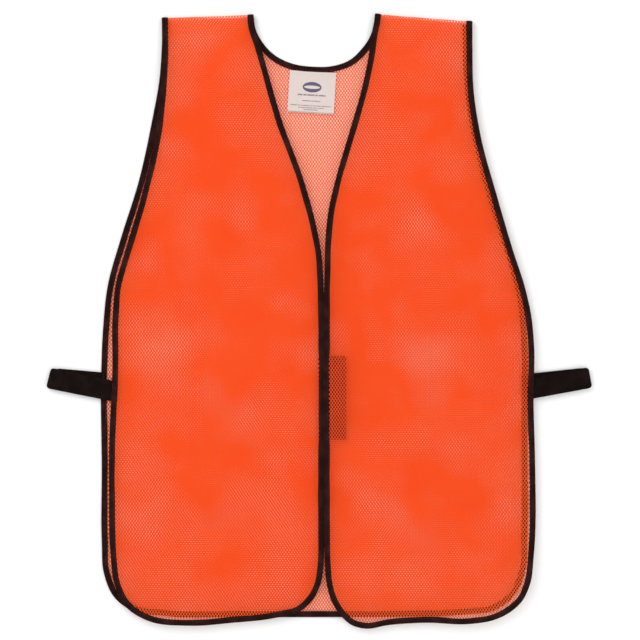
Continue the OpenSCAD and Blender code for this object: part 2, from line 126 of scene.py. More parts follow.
class Paint:
    """A material whose nodes are added one call at a time."""

    def __init__(self, name, roughness, specular, sheen=0.0):
        self.material = bpy.data.materials.new(name)
        self.material.use_nodes = True
        self.tree = self.material.node_tree
        self.shader = self.tree.nodes["Principled BSDF"]
        self.shader.inputs["Roughness"].default_value = roughness
        self.shader.inputs["Specular IOR Level"].default_value = specular
        self.shader.inputs["Sheen Weight"].default_value = sheen
        self.shader.inputs["Sheen Roughness"].default_value = 0.4

    def node(self, kind, **settings):
        made = self.tree.nodes.new("ShaderNode" + kind)
        for key, value in settings.items():
            setattr(made, key, value)
        return made

    def put(self, value, socket):
        if isinstance(value, bpy.types.NodeSocket):
            self.tree.links.new(value, socket)
        else:
            socket.default_value = value

    def maths(self, operation, *values):
        made = self.node("Math", operation=operation)
        for value, socket in zip(values, made.inputs):
            self.put(value, socket)
        return made.outputs[0]

    def flat(self):
        """Across and along the flat cut, in metres."""
        return self.node("UVMap", uv_map="flat").outputs[0]

    def split(self, vector):
        made = self.node("SeparateXYZ")
        self.put(vector, made.inputs[0])
        return made.outputs[0], made.outputs[1]

    def join(self, x, y):
        made = self.node("CombineXYZ")
        self.put(x, made.inputs[0])
        self.put(y, made.inputs[1])
        return made.outputs[0]

    def noise(self, vector, scale, detail=2.0):
        made = self.node("TexNoise")
        self.put(vector, made.inputs["Vector"])
        made.inputs["Scale"].default_value = scale
        made.inputs["Detail"].default_value = detail
        return made.outputs["Fac"]

    def ramp(self, value, low, high, to_low=0.0, to_high=1.0):
        made = self.node("MapRange", interpolation_type="SMOOTHSTEP")
        for v, key in (
            (value, "Value"),
            (low, "From Min"),
            (high, "From Max"),
            (to_low, "To Min"),
            (to_high, "To Max"),
        ):
            self.put(v, made.inputs[key])
        return made.outputs[0]

    def mix(self, factor, a, b):
        made = self.node("Mix", data_type="RGBA")
        self.put(factor, made.inputs[0])
        self.put(a if isinstance(a, bpy.types.NodeSocket) else (*a, 1), made.inputs[6])
        self.put(b if isinstance(b, bpy.types.NodeSocket) else (*b, 1), made.inputs[7])
        return made.outputs[2]

    def finish(self, colour, height, depth, solid=None, glow_colour=None):
        """Colour and bump. solid, where given, is 1 on the yarn and 0 in the holes, and the light
        that comes through the yarn has the glow colour."""
        bump = self.node("Bump")
        bump.inputs["Distance"].default_value = depth
        self.put(height, bump.inputs["Height"])
        self.put(bump.outputs[0], self.shader.inputs["Normal"])
        self.put(colour, self.shader.inputs["Base Color"])
        if solid is not None:
            glow = self.node("BsdfTranslucent")
            yarn, whole = self.node("MixShader"), self.node("MixShader")
            self.put((*glow_colour, 1), glow.inputs["Color"])
            yarn.inputs[0].default_value = YARN_SHEER
            self.put(self.shader.outputs[0], yarn.inputs[1])
            self.put(glow.outputs[0], yarn.inputs[2])
            self.put(solid, whole.inputs[0])
            self.put(self.node("BsdfTransparent").outputs[0], whole.inputs[1])
            self.put(yarn.outputs[0], whole.inputs[2])
            self.put(whole.outputs[0], self.tree.nodes["Material Output"].inputs["Surface"])
        return self.material


def mesh_cloth(name, drift, start=0.0):
    """Knitted mesh of open diamonds. Its rows wander a little, differently in each layer."""
    p = Paint(name, 0.55, 0.08, 0.03)
    x, y = p.split(p.flat())
    shifted = p.join(p.maths("ADD", x, drift), y)
    stray = p.maths("SUBTRACT", p.noise(shifted, 11, 1.5), 0.5)
    across = p.maths("MULTIPLY", stray, MESH_WANDER)
    turned = p.join(p.maths("ADD", y, drift * 2), x)
    stray = p.maths("SUBTRACT", p.noise(turned, 11, 1.5), 0.5)
    along = p.maths("MULTIPLY", stray, MESH_WANDER)
    u = p.maths("MULTIPLY", p.maths("ADD", p.maths("ADD", x, across), start), TAU / MESH_X)
    v = p.maths("MULTIPLY", p.maths("ADD", y, along), TAU / MESH_Y)
    hole = p.maths("MULTIPLY", p.maths("COSINE", u), p.maths("COSINE", v))
    solid = p.ramp(hole, HOLE_RIM, HOLE_OPEN, 1.0, 0.0)
    fibres = p.noise(p.join(p.maths("MULTIPLY", x, 3.0), y), 1600, 1.0)
    # Paler orange patches at random places are painted light. They stand in for the light let
    # through where the holes of the two layers line up.
    painted_light_patches = p.noise(shifted, 14, 2.0)
    thread = p.mix(fibres, (1.0, 0.098, 0.021), (0.96, 0.070, 0.012))
    colour = p.mix(p.ramp(painted_light_patches, 0.35, 0.7, 0.0, 0.35), thread, (1.0, 0.125, 0.032))
    height = p.maths("ADD", p.maths("MULTIPLY", hole, -0.7), p.maths("MULTIPLY", fibres, 0.5))
    return p.finish(colour, height, 0.2 * MM, solid, (1.0, 0.37, 0.090))


def tape_weave(name, dark, light, rib, cross, depth):
    """Woven tape: ribs along it at one pitch and picks across it at another."""
    p = Paint(name, 0.8, 0.05, 0.0)
    along, girth = p.split(p.flat())
    ribs = p.maths("SINE", p.maths("MULTIPLY", girth, TAU / rib))
    picks = p.maths("SINE", p.maths("MULTIPLY", along, TAU / cross))
    weave = p.maths("MULTIPLY", ribs, picks)
    worn = p.noise(p.flat(), 60, 3.0)
    fuzz = p.noise(p.flat(), 2500, 1.0)
    height = p.maths("ADD", p.maths("ADD", p.maths("MULTIPLY", ribs, 0.6), weave), fuzz)
    blotch = p.maths("ADD", p.maths("MULTIPLY", weave, 0.22), p.ramp(worn, 0.35, 0.75))
    return p.finish(p.mix(blotch, dark, light), height, depth)


def fuzzy(name, dark, light, grain, depth):
    """Brushed pile, such as loop tape or thread."""
    p = Paint(name, 0.85, 0.12, 0.3)
    fluff = p.noise(p.flat(), grain, 3.0)
    return p.finish(p.mix(p.ramp(fluff, 0.3, 0.7), dark, light), fluff, depth)


def printed_label(name):
    """Cream satin with a plain oval and plain grey lines, in place of a printed mark and words."""
    p = Paint(name, 0.5, 0.3, 0.1)
    x, y = p.split(p.flat())
    weave = p.maths(
        "MULTIPLY",
        p.maths("SINE", p.maths("MULTIPLY", x, TAU / (0.35 * MM))),
        p.maths("SINE", p.maths("MULTIPLY", y, TAU / (0.5 * MM))),
    )
    soft = p.noise(p.flat(), 70, 2.0)
    cloth = p.mix(soft, (0.72, 0.62, 0.58), (0.66, 0.56, 0.52))

    def oval(width, height, middle):
        """Below 1 inside an oval that is centred middle below the label's upper edge."""
        far_x = p.maths("POWER", p.maths("DIVIDE", x, width / 2), 2.0)
        down = p.maths("DIVIDE", p.maths("ADD", y, middle), height / 2)
        return p.maths("ADD", far_x, p.maths("POWER", down, 2.0))

    def line(middle, height, width, breaks):
        """1 on a broken line."""
        there = p.maths("LESS_THAN", p.maths("ABSOLUTE", p.maths("ADD", y, middle)), height / 2)
        short = p.maths("LESS_THAN", p.maths("ABSOLUTE", x), width / 2)
        dashes = p.noise(p.join(x, middle * 50), breaks, 2.0)
        drawn = p.maths("GREATER_THAN", dashes, 0.43)
        return p.maths("MULTIPLY", p.maths("MULTIPLY", there, short), drawn)

    ring = oval(23 * MM, 12.8 * MM, 17.3 * MM)
    inner = oval(19.5 * MM, 4.0 * MM, 17.3 * MM)
    mark = p.maths("MULTIPLY", p.maths("LESS_THAN", ring, 1.0), p.maths("GREATER_THAN", inner, 1.0))
    colour = p.mix(p.maths("MULTIPLY", mark, 0.92), cloth, (0.055, 0.05, 0.12))
    for middle, height, width, breaks in (
        (27.0, 1.9, 34, 420),
        (34.2, 1.1, 22, 700),
        (40.0, 1.0, 50, 600),
        (42.6, 1.0, 32, 600),
        (45.0, 1.0, 20, 600),
    ):
        words = line(middle * MM, height * MM, width * MM, breaks)
        colour = p.mix(p.maths("MULTIPLY", words, 0.75), colour, (0.12, 0.10, 0.15))
    return p.finish(colour, weave, 0.04 * MM)


def plain_floor():
    p = Paint("floor", 0.9, 0.1)
    place = p.node("TexCoord").outputs["Object"]
    grain = p.noise(place, 300, 2.0)
    return p.finish(p.mix(grain, (0.96, 0.96, 0.96), (0.94, 0.94, 0.94)), grain, 0.01 * MM)


FRONT_MESH = mesh_cloth("front_mesh_cloth", 0.31)
BACK_MESH = mesh_cloth("back_mesh_cloth", 1.73, MESH_X / 2)
TAPE = tape_weave(
    "binding_tape", (0.017, 0.0050, 0.0045), (0.040, 0.0130, 0.0110),
    rib=0.55 * MM, cross=0.8 * MM, depth=0.12 * MM,
)
ELASTIC = tape_weave(
    "ribbed_elastic", (0.0080, 0.0040, 0.0032), (0.0170, 0.0090, 0.0070),
    rib=1.1 * MM, cross=0.7 * MM, depth=0.22 * MM,
)
THREAD = fuzzy("dark_thread", (0.012, 0.006, 0.005), (0.045, 0.022, 0.017), 1500, 0.05 * MM)
HOOKS = fuzzy("hook_tape", (0.105, 0.008, 0.006), (0.150, 0.012, 0.009), 900, 0.1 * MM)
LOOPS = fuzzy("loop_tape", (0.008, 0.004, 0.004), (0.026, 0.014, 0.013), 700, 0.4 * MM)
LABEL = printed_label("care_label_satin")
ORANGE_THREAD = fuzzy("orange_thread", (0.75, 0.06, 0.012), (0.95, 0.10, 0.02), 1500, 0.05 * MM)
PALE_THREAD = fuzzy("pale_thread", (0.62, 0.55, 0.52), (0.80, 0.73, 0.70), 1500, 0.05 * MM)

# ---------------------------------------------------------------- mesh making


def new_piece(name, vertices, faces, corner_uvs, material):
    """A mesh piece. corner_uvs has one (across, along) in metres for each face corner."""
    mesh = bpy.data.meshes.new(name)
    mesh.from_pydata([tuple(v) for v in vertices], [], [tuple(f) for f in faces])
    layer = mesh.uv_layers.new(name="flat")
    layer.data.foreach_set("uv", np.asarray(corner_uvs, np.float32).ravel())
    mesh.polygons.foreach_set("use_smooth", [True] * len(mesh.polygons))
    mesh.materials.append(material)
    made = bpy.data.objects.new(name, mesh)
    bpy.context.scene.collection.objects.link(made)
    return made


def skin(name, points, along, girth, material):
    """Closed skin over stations. points is stations by profile by 3, along has one number a
    station, and girth one a profile point and one more for the way back to the first."""
    n, m = points.shape[:2]
    i, k = np.meshgrid(np.arange(n - 1), np.arange(m), indexing="ij")
    i, k = i.ravel(), k.ravel()
    j = (k + 1) % m
    faces = np.stack([i * m + k, i * m + j, (i + 1) * m + j, (i + 1) * m + k], 1).tolist()
    s, g = np.asarray(along), np.asarray(girth)
    uvs = np.stack(
        [
            np.stack([s[i], g[k]], 1),
            np.stack([s[i], g[k + 1]], 1),
            np.stack([s[i + 1], g[k + 1]], 1),
            np.stack([s[i + 1], g[k]], 1),
        ],
        1,
    ).reshape(-1, 2)
    faces += [list(range(m))[::-1], [(n - 1) * m + q for q in range(m)]]
    uvs = np.concatenate(
        [uvs, [(s[0], g[q]) for q in range(m)][::-1], [(s[-1], g[q]) for q in range(m)]]
    )
    return new_piece(name, points.reshape(-1, 3), faces, uvs, material)


def frames_of(line):
    """For a line of points, the directions along it."""
    ahead = np.gradient(line, axis=0)
    return ahead / np.maximum(np.linalg.norm(ahead, axis=1, keepdims=True), 1e-12)


def stubs(name, a, b, radius, material, sides=STUB_SIDES):
    """Short rounded bars from each point of a to each of b, such as stitches."""
    a, b = np.asarray(a, float), np.asarray(b, float)
    d = b - a
    long = np.linalg.norm(d, axis=1, keepdims=True)
    d = d / np.maximum(long, 1e-12)
    other = np.where(np.abs(d[:, 2:3]) > 0.9, [[1.0, 0, 0]], [[0, 0, 1.0]])
    p = np.cross(d, other)
    p /= np.linalg.norm(p, axis=1, keepdims=True)
    q = np.cross(d, p)
    rings = []
    for at, wide in ((0.0, 0.45), (0.12, 1.0), (0.88, 1.0), (1.0, 0.45)):
        centre = a + d * long * at
        for t in range(sides):
            angle = TAU * t / sides
            rings.append(centre + radius * wide * (math.cos(angle) * p + math.sin(angle) * q))
    points = np.stack(rings, 1)  # bars by 4*sides by 3
    count = 4 * sides
    one = []
    for r in range(3):
        for t in range(sides):
            u = (t + 1) % sides
            one.append([r * sides + t, r * sides + u, (r + 1) * sides + u, (r + 1) * sides + t])
    faces = []
    caps = [list(range(sides))[::-1], list(range(3 * sides, 4 * sides))]
    for n in range(len(a)):
        faces += [[n * count + c for c in f] for f in one + caps]
    flat_points = points.reshape(-1, 3)
    uvs = flat_points[[c for f in faces for c in f]][:, :2]
    return new_piece(name, flat_points, faces, uvs, material)


def tube(name, line, radius, material, sides=TUBE_SIDES):
    """Thread along a line of points."""
    line = np.asarray(line, float)
    t = frames_of(line)
    p = np.cross(t, [0, 0, 1.0])
    p /= np.maximum(np.linalg.norm(p, axis=1, keepdims=True), 1e-9)
    q = np.cross(t, p)
    angles = TAU * np.arange(sides) / sides
    points = line[:, None] + radius * (
        np.cos(angles)[None, :, None] * p[:, None] + np.sin(angles)[None, :, None] * q[:, None]
    )
    along = np.concatenate([[0], np.cumsum(np.linalg.norm(np.diff(line, axis=0), axis=1))])
    return skin(name, points, along, TAU * radius * np.arange(sides + 1) / sides, material)


# ---------------------------------------------------------------- outlines from the CAD nodes


def top_outline(node):
    """The outline of a CAD node's flat top, in order."""
    mesh = frame["nodes"][node].data
    top = max(v.co.z for v in mesh.vertices)
    key = {v.index: (round(v.co.x * 1e6), round(v.co.y * 1e6)) for v in mesh.vertices}
    after = set()
    for face in mesh.polygons:
        if all(mesh.vertices[i].co.z > top - 1e-5 for i in face.vertices):
            ring = [key[i] for i in face.vertices]
            for a, b in zip(ring, ring[1:] + ring[:1]):
                if a == b:
                    continue
                if (b, a) in after:
                    after.remove((b, a))
                else:
                    after.add((a, b))
    follow = dict(after)
    loops = []
    while follow:
        start, at = follow.popitem()
        loop = [start]
        while at != start:
            loop.append(at)
            at = follow.pop(at)
        loops.append(loop)
    loop = np.array(max(loops, key=len), float) * 1e-6
    far = np.linalg.norm(loop - np.roll(loop, 1, axis=0), axis=1)
    return loop[far > 0.25 * MM]


def inside(points, outline):
    """Which points lie inside an outline."""
    x, y = points[:, 0:1], points[:, 1:2]
    a, b = outline, np.roll(outline, -1, axis=0)
    spans = (a[:, 1] > y) != (b[:, 1] > y)
    rise = np.where(b[:, 1] == a[:, 1], 1e-12, b[:, 1] - a[:, 1])
    cross = x < (b[:, 0] - a[:, 0]) * (y - a[:, 1]) / rise + a[:, 0]
    return (spans & cross).sum(1) % 2 == 1


def length_of(line):
    return float(np.linalg.norm(np.diff(line, axis=0), axis=1).sum())


def outer_side(node, panels):
    """The outer edge of a binding node: of its two long sides, the one outside the cloth."""
    loop = top_outline(node)
    a, b = loop - np.roll(loop, 1, axis=0), np.roll(loop, -1, axis=0) - loop
    turn = np.abs(np.arctan2(a[:, 0] * b[:, 1] - a[:, 1] * b[:, 0], (a * b).sum(1)))
    corners = sorted(np.argsort(turn)[-4:])
    sides = []
    for i, c in enumerate(corners):
        stop = corners[(i + 1) % 4]
        count = (stop - c) % len(loop)
        sides.append(loop[[(c + k) % len(loop) for k in range(count + 1)]])
    for side in sorted(sides, key=length_of)[-2:]:
        middle = side[len(side) // 2][None]
        if not any(inside(middle, panel)[0] for panel in panels):
            return side
    raise ValueError(f"{node} has no side outside its cloth")


def joined(lines):
    """Lines turned so that each starts where the one before ends."""
    if len(lines) == 1:
        return lines
    first, second = lines[0], lines[1]

    def gap(point, line):
        return min(np.linalg.norm(point - line[0]), np.linalg.norm(point - line[-1]))

    if gap(first[0], second) < gap(first[-1], second):
        first = first[::-1]
    out = [first]
    for line in lines[1:]:
        end = out[-1][-1]
        if np.linalg.norm(line[-1] - end) < np.linalg.norm(line[0] - end):
            line = line[::-1]
        out.append(line)
    return out


def through(points, step):
    """Smooth curve through points, evened to about one step."""
    spans = np.diff(points, axis=0)
    gaps = np.linalg.norm(spans, axis=1)
    unit = spans / gaps[:, None]
    heading = np.empty_like(points)
    heading[0], heading[-1] = unit[0], unit[-1]
    weight = gaps[:-1] + gaps[1:]
    heading[1:-1] = (unit[:-1] * gaps[1:, None] + unit[1:] * gaps[:-1, None]) / weight[:, None]
    t = np.linspace(0, 1, 12, endpoint=False)[None, :, None]
    a, b = points[:-1, None], points[1:, None]
    u, v = heading[:-1, None] * gaps[:, None, None], heading[1:, None] * gaps[:, None, None]
    dense = (
        a * (2 * t**3 - 3 * t**2 + 1)
        + u * (t**3 - 2 * t**2 + t)
        + b * (3 * t**2 - 2 * t**3)
        + v * (t**3 - t**2)
    ).reshape(-1, 2)
    dense = np.concatenate([dense, points[-1:]])
    far = np.concatenate([[0], np.cumsum(np.linalg.norm(np.diff(dense, axis=0), axis=1))])
    even = np.linspace(0, far[-1], max(int(far[-1] / step), 2) + 1)
    return np.stack([np.interp(even, far, dense[:, i]) for i in (0, 1)], 1)


def smoothstep(t):
    t = np.clip(t, 0, 1)
    return t * t * (3 - 2 * t)


# ---------------------------------------------------------------- layers of cloth


class Shoulder:
    """The line over which a front turns down to the back."""

    def __init__(self, joint):
        found = next(j for j in frame["joints"] if j["name"] == joint)
        self.at = np.array(found["pos_m"][:2])
        self.z = found["pos_m"][2]
        along = np.array(found["axis"][:2])
        out = np.array([-along[1], along[0]])
        self.out = out if out[1] > 0 else -out

    def past(self, xy):
        return (xy - self.at) @ self.out


class Layer:
    """One layer of cloth: its height, how it swells, and the shoulder that it turns over."""

    def __init__(self, binding, seed, swell, shoulder=None, calm=()):
        low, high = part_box(binding)
        self.z = (low.z + high.z) / 2
        self.swell, self.shoulder, self.calm = swell, shoulder, calm
        draw = np.random.default_rng(seed)
        self.turns = draw.uniform(0, math.pi, SWELL_WAVES)
        self.waves = draw.uniform(55, 210, SWELL_WAVES) * MM
        self.starts = draw.uniform(0, TAU, SWELL_WAVES)
        self.ring_r = self.z - shoulder.z if shoulder else None
        self.reach = math.pi * self.ring_r if shoulder else 0
        self.shoulder_span = None  # from where to where along the shoulder its cloth turns over
        self.lap_x = None  # where its middle edge rises over the other front

    def lift(self, xy):
        """Height of the slack cloth above its flat place."""
        total = np.zeros(len(xy))
        for turn, wave, start in zip(self.turns, self.waves, self.starts):
            phase = (xy[:, 0] * math.cos(turn) + xy[:, 1] * math.sin(turn)) / wave * TAU + start
            total += np.sin(phase + 0.8 * np.sin(phase * 0.37 + start)) * (wave / (140 * MM))
        total = self.swell * smoothstep(total / 10 + 0.5)
        for place, reach in self.calm:
            far = np.linalg.norm(xy - np.array(place), axis=1)
            total *= smoothstep((far - reach) / (45 * MM))
        for shoulder in SHOULDERS:
            total *= smoothstep(-shoulder.past(xy) / (70 * MM))
        if self.lap_x is not None:
            total += LAP_RISE * smoothstep(1 - np.abs(xy[:, 0] - self.lap_x) / LAP_REACH)
        return total

    def place(self, xy, height):
        """The points of the cloth, from flat places and heights above its middle."""
        xy = np.asarray(xy, float)
        height = np.broadcast_to(height, (len(xy),))
        out = np.empty((len(xy), 3))
        out[:, :2], out[:, 2] = xy, self.z + self.lift(xy) + height
        if self.shoulder:
            past = self.shoulder.past(xy)
            over = past > 0
            foot = xy - past[:, None] * self.shoulder.out
            angle = np.minimum(past / self.ring_r, math.pi)
            r = self.ring_r + height
            ring = np.empty_like(out)
            ring[:, :2] = foot + (r * np.sin(angle))[:, None] * self.shoulder.out
            ring[:, 2] = self.shoulder.z + r * np.cos(angle)
            out[over] = ring[over]
        return out


RIGHT_SHOULDER, LEFT_SHOULDER = Shoulder("right_front_lift"), Shoulder("left_front_lift")
SHOULDERS = (RIGHT_SHOULDER, LEFT_SHOULDER)

# ---------------------------------------------------------------- the three cloths

RIGHT_TAPES = [
    "right_armhole_binding", "right_side_binding", "right_hem_binding",
    "right_flap_hem_binding", "right_flap_center_binding", "right_flap_neck_binding",
    "right_neck_binding",
]
LEFT_TAPES = [
    "left_neck_binding", "left_flap_neck_binding", "left_flap_center_binding",
    "left_flap_hem_binding", "left_hem_binding", "left_side_binding",
    "left_armhole_binding",
]
BACK_TAPES = [
    "back_right_armhole_binding", "back_right_side_binding", "back_hem_binding",
    "back_left_side_binding", "back_left_armhole_binding",
]


def middle_of(node):
    low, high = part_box(node)
    return ((low.x + high.x) / 2, (low.y + high.y) / 2)


CALM = [
    (middle_of("right_strap_back_end"), 22 * MM),
    (middle_of("left_strap_back_end"), 22 * MM),
    (middle_of("hook_patch"), 52 * MM),
    (middle_of("care_label"), 34 * MM),
]
back = Layer("back_neck_binding", 11, BACK_SWELL, calm=CALM)
right = Layer("right_armhole_binding", 5, FRONT_SWELL, RIGHT_SHOULDER, CALM[:3])
left = Layer("left_armhole_binding", 23, FRONT_SWELL, LEFT_SHOULDER, CALM[:3])
left.lap_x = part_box("left_flap_center_binding")[0].x


def outline_of(line, inwards):
    """A line moved to its left."""
    t = frames_of(line)
    return line + inwards * np.stack([-t[:, 1], t[:, 0]], 1)


class Edge:
    """A bound edge: a smooth line with the cloth on its left, and each node's stretch of it."""

    def __init__(self, nodes, cloths, out, reach):
        sides = joined([outer_side(n, cloths) for n in nodes])
        raw = np.concatenate(sides)
        apart = np.linalg.norm(np.diff(raw, axis=0), axis=1) > 0.2 * MM
        raw = raw[np.concatenate([[True], apart])]
        steps = np.linspace(0, reach, 4)[1:, None]
        raw = np.concatenate([raw[0] + steps[::-1] * out, raw, raw[-1] + steps * out])
        self.line = through(raw, EDGE_STEP)
        marks = [self.nearest(s[0]) for s in sides] + [self.nearest(sides[-1][-1])]
        last = len(self.line) - 1
        marks[0], marks[-1] = 0, last
        self.span = {n: (marks[i], marks[i + 1]) for i, n in enumerate(nodes)}
        probe = outline_of(self.line, TAPE_W / 2)[last // 2][None]
        if not any(inside(probe, c)[0] for c in cloths):
            self.line = self.line[::-1]
            self.span = {n: (last - b, last - a) for n, (a, b) in self.span.items()}
        self.inward = outline_of(self.line, 1.0) - self.line

    def nearest(self, point):
        return int(np.argmin(np.linalg.norm(self.line - point, axis=1)))

    def lap(self, node):
        """Draws the stretch of a node out over its neighbour, most of all at the closure."""
        a, b = self.span[node]
        index = np.arange(len(self.line))
        from_end = np.minimum(index - a, b - index) * EDGE_STEP
        low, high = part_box("hook_patch")
        within = np.minimum(self.line[:, 1] - low.y, high.y - self.line[:, 1])
        closed = CLOSURE_LAP * smoothstep(0.5 + within / (18 * MM)) * (from_end > 0)
        out_by = CENTER_LAP * smoothstep(from_end / (40 * MM)) + closed
        self.line = self.line - self.inward * out_by[:, None]


def stations(a, b, step):
    """Indexes of an edge's points from a to b, about step apart."""
    count = max(int(round((b - a) * EDGE_STEP / step)), 1)
    return np.unique(np.round(np.linspace(a, b, count + 1)).astype(int))


def tape_profile():
    """Half the section of a folded tape: distance from the edge and height, in millimetres."""
    top = [
        (0.0, 0.0), (0.12, 0.42), (0.5, 0.74), (1.3, 0.9), (2.8, 0.94), (4.2, 0.9), (5.2, 0.8),
        (5.7, 0.66), (6.15, 0.74), (6.8, 0.72), (7.2, 0.5), (7.2, 0.3), (6.7, 0.14),
    ]
    under = [(d, -h) for d, h in top[:0:-1]]
    return np.array(top + under) * MM


PROFILE = tape_profile()
GIRTH = np.concatenate(
    [[0], np.cumsum(np.linalg.norm(np.diff(np.vstack([PROFILE, PROFILE[:1]]), axis=0), axis=1))]
)


def tape(name, layer, edge, nodes):
    """Folded binding over the stretch of an edge that these CAD nodes hold."""
    a = min(edge.span[n][0] for n in nodes)
    b = max(edge.span[n][1] for n in nodes)
    index = stations(a, b, TAPE_STEP)
    if layer.shoulder:
        rounding = np.arange(a, b + 1)
        near = layer.shoulder.past(edge.line[rounding]) > -2 * MM
        index = np.unique(np.concatenate([index, rounding[near][::2], [a, b]]))
    line, inward = edge.line[index], edge.inward[index]
    along = index * EDGE_STEP
    wide = 1 + 0.022 * np.sin(along / (19 * MM)) + 0.018 * np.sin(along / (7.3 * MM) + 1.0)
    thick = 1 + 0.05 * np.sin(along / (11 * MM) + 2.0)
    points = np.empty((len(index), len(PROFILE), 3))
    for k, (d, h) in enumerate(PROFILE):
        flat_place = line + inward * (d * wide)[:, None]
        points[:, k] = layer.place(flat_place, h * thick)
    made = skin(name, points, along, GIRTH, TAPE)
    return made


def edge_stitches(name, layer, edges):
    """Lockstitches on both faces of a layer's bindings."""
    starts, ends = [], []
    for edge in edges:
        pitch = int(round(STITCH_PITCH / EDGE_STEP))
        long = int(round(STITCH_LENGTH / EDGE_STEP))
        a = np.arange(2, len(edge.line) - long - 2, pitch)
        line = edge.line + edge.inward * STITCH_IN
        for side in (1, -1):
            height = side * 0.76 * MM
            starts.append(layer.place(line[a], height))
            ends.append(layer.place(line[a + long], height))
    made = stubs(name, np.concatenate(starts), np.concatenate(ends), THREAD_R, THREAD)
    return made


def cloth(name, layer, outline, material, bend=None):
    """A sheet of mesh inside an outline, laid over its layer. bend is (point, direction) of the
    line on which it folds open; the points there lie in rows along that line."""
    rim = []
    for a, b in zip(outline, np.roll(outline, -1, axis=0)):
        count = max(int(round(np.linalg.norm(b - a) / CLOTH_PITCH)), 1)
        rim += [a + (b - a) * q / count for q in range(count)]
    rim = np.array(rim)
    low, high = rim.min(0), rim.max(0)
    rows = np.arange(low[1], high[1], CLOTH_PITCH * 0.866)
    grid = np.array(
        [
            (x, y)
            for i, y in enumerate(rows)
            for x in np.arange(low[0] + (i % 2) * CLOTH_PITCH / 2, high[0], CLOTH_PITCH)
        ]
    )
    if layer.shoulder:
        beyond = layer.shoulder.past(grid)
        grid = grid[beyond < -CLOTH_PITCH / 2]
        start, stop = layer.shoulder_span
        across = np.arange(start, stop, CLOTH_PITCH)
        along = np.array([-layer.shoulder.out[1], layer.shoulder.out[0]])
        steps = np.linspace(0, layer.reach, 13)[:-1]
        turned = [
            layer.shoulder.at + along * a + layer.shoulder.out * s for a in across for s in steps
        ]
        grid = np.concatenate([grid, turned])
    if bend is not None:
        point, direction = bend
        side = np.array([-direction[1], direction[0]])
        off = (grid - point) @ side
        reach = FLAP_BEND + 3 * MM
        grid = grid[np.abs(off) > reach]
        along = np.arange(-0.8, 0.8, CLOTH_PITCH)
        across = np.arange(-reach, reach + 1e-6, 1.6 * MM)
        bent = point + along[:, None, None] * direction + across[None, :, None] * side
        grid = np.concatenate([grid, bent.reshape(-1, 2)])
    grid = grid[inside(grid, rim)]
    clear = np.array([np.linalg.norm(rim - g, axis=1).min() for g in grid])
    grid = grid[clear > 0.55 * CLOTH_PITCH]
    flat_points = np.concatenate([rim, grid])
    ring = [(i, (i + 1) % len(rim)) for i in range(len(rim))]
    found = delaunay_2d_cdt([Vector(p) for p in flat_points], ring, [], 1, 1e-7)
    flat_points = np.array(found[0])
    faces = found[2]
    points = layer.place(flat_points, 0.0)
    uvs = flat_points[[i for f in faces for i in f]]
    made = new_piece(name, points, faces, uvs, material)
    turned = np.roll(rim, -1, axis=0)
    area = abs((rim[:, 0] * turned[:, 1] - turned[:, 0] * rim[:, 1]).sum()) / 2
    return made, tuple(high - low), area


def panels(*nodes):
    return [top_outline(n) for n in nodes]


def flap_line(joint):
    found = next(j for j in frame["joints"] if j["name"] == joint)
    at, axis = np.array(found["pos_m"]), np.array(found["axis"])
    return at, axis[:2] / np.linalg.norm(axis[:2])


def front(side, layer, tapes):
    """One front: cloth, five lengths of binding and the stitches, the cloth's points in rows along
    its flap line.
    """
    edge = Edge(
        tapes, panels(f"{side}_front_panel", f"{side}_flap_panel"), layer.shoulder.out, layer.reach
    )
    edge.lap(f"{side}_flap_center_binding")
    at, direction = flap_line(f"{side}_front_open")
    middle = np.array(middle_of(f"{side}_flap_center_binding"))
    towards = np.array([-direction[1], direction[0]])
    if (middle - at[:2]) @ towards < 0:
        towards = -towards
    along = np.array([-layer.shoulder.out[1], layer.shoulder.out[0]])
    ends = sorted(((edge.line[i] - layer.shoulder.at) @ along) for i in (0, -1))
    layer.shoulder_span = (ends[0] + 2 * MM, ends[1] - 2 * MM)
    outline = outline_of(edge.line, TAPE_FOLD)[::EDGE_SKIP]
    bend = (at[:2], direction)
    sheet, size, area = cloth(f"{side}_front_cloth", layer, outline, FRONT_MESH, bend)
    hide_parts(f"{side}_front_panel", f"{side}_flap_panel", f"{side}_shoulder_fold")
    pieces = [sheet]
    groups = {
        "armhole_tape": [f"{side}_armhole_binding"],
        "side_tape": [f"{side}_side_binding"],
        "hem_tape": [f"{side}_hem_binding", f"{side}_flap_hem_binding"],
        "center_tape": [f"{side}_flap_center_binding"],
        "neck_tape": [f"{side}_flap_neck_binding", f"{side}_neck_binding"],
    }
    for name, nodes in groups.items():
        made = tape(f"{side}_{name}", layer, edge, nodes)
        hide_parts(*nodes)
        pieces.append(made)
    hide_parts(f"{side}_shoulder_fold_binding")
    pieces.append(edge_stitches(f"{side}_edge_stitches", layer, [edge]))
    for piece in pieces:
        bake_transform(piece)


def back_pieces():
    """The back: cloth, six lengths of binding and the stitches."""
    found = panels("back_panel")
    up = np.array([0.0, 1.0])
    outer = Edge(BACK_TAPES, found, up, BACK_REACH)
    neck = Edge(["back_neck_binding"], found, up, BACK_REACH)
    outline = []
    for edge in (outer, neck):
        line = outline_of(edge.line, TAPE_FOLD)
        first, last = line[:1], line[-1:]
        outline += [first + up * BACK_TUCK, line[:-1:EDGE_SKIP], last, last + up * BACK_TUCK]
    outline = np.vstack(outline)
    sheet, size, area = cloth("back_cloth", back, outline, BACK_MESH)
    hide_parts("back_panel")
    pieces = [sheet]
    for edge, nodes in ((outer, BACK_TAPES), (neck, ["back_neck_binding"])):
        for node in nodes:
            made = tape(node.replace("_binding", "_tape"), back, edge, [node])
            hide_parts(node)
            pieces.append(made)
    pieces.append(edge_stitches("back_edge_stitches", back, [outer, neck]))
    for piece in pieces:
        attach(piece, "back")


# ---------------------------------------------------------------- bands: straps, label, closure


def plain_uv(along, across):
    return along, across


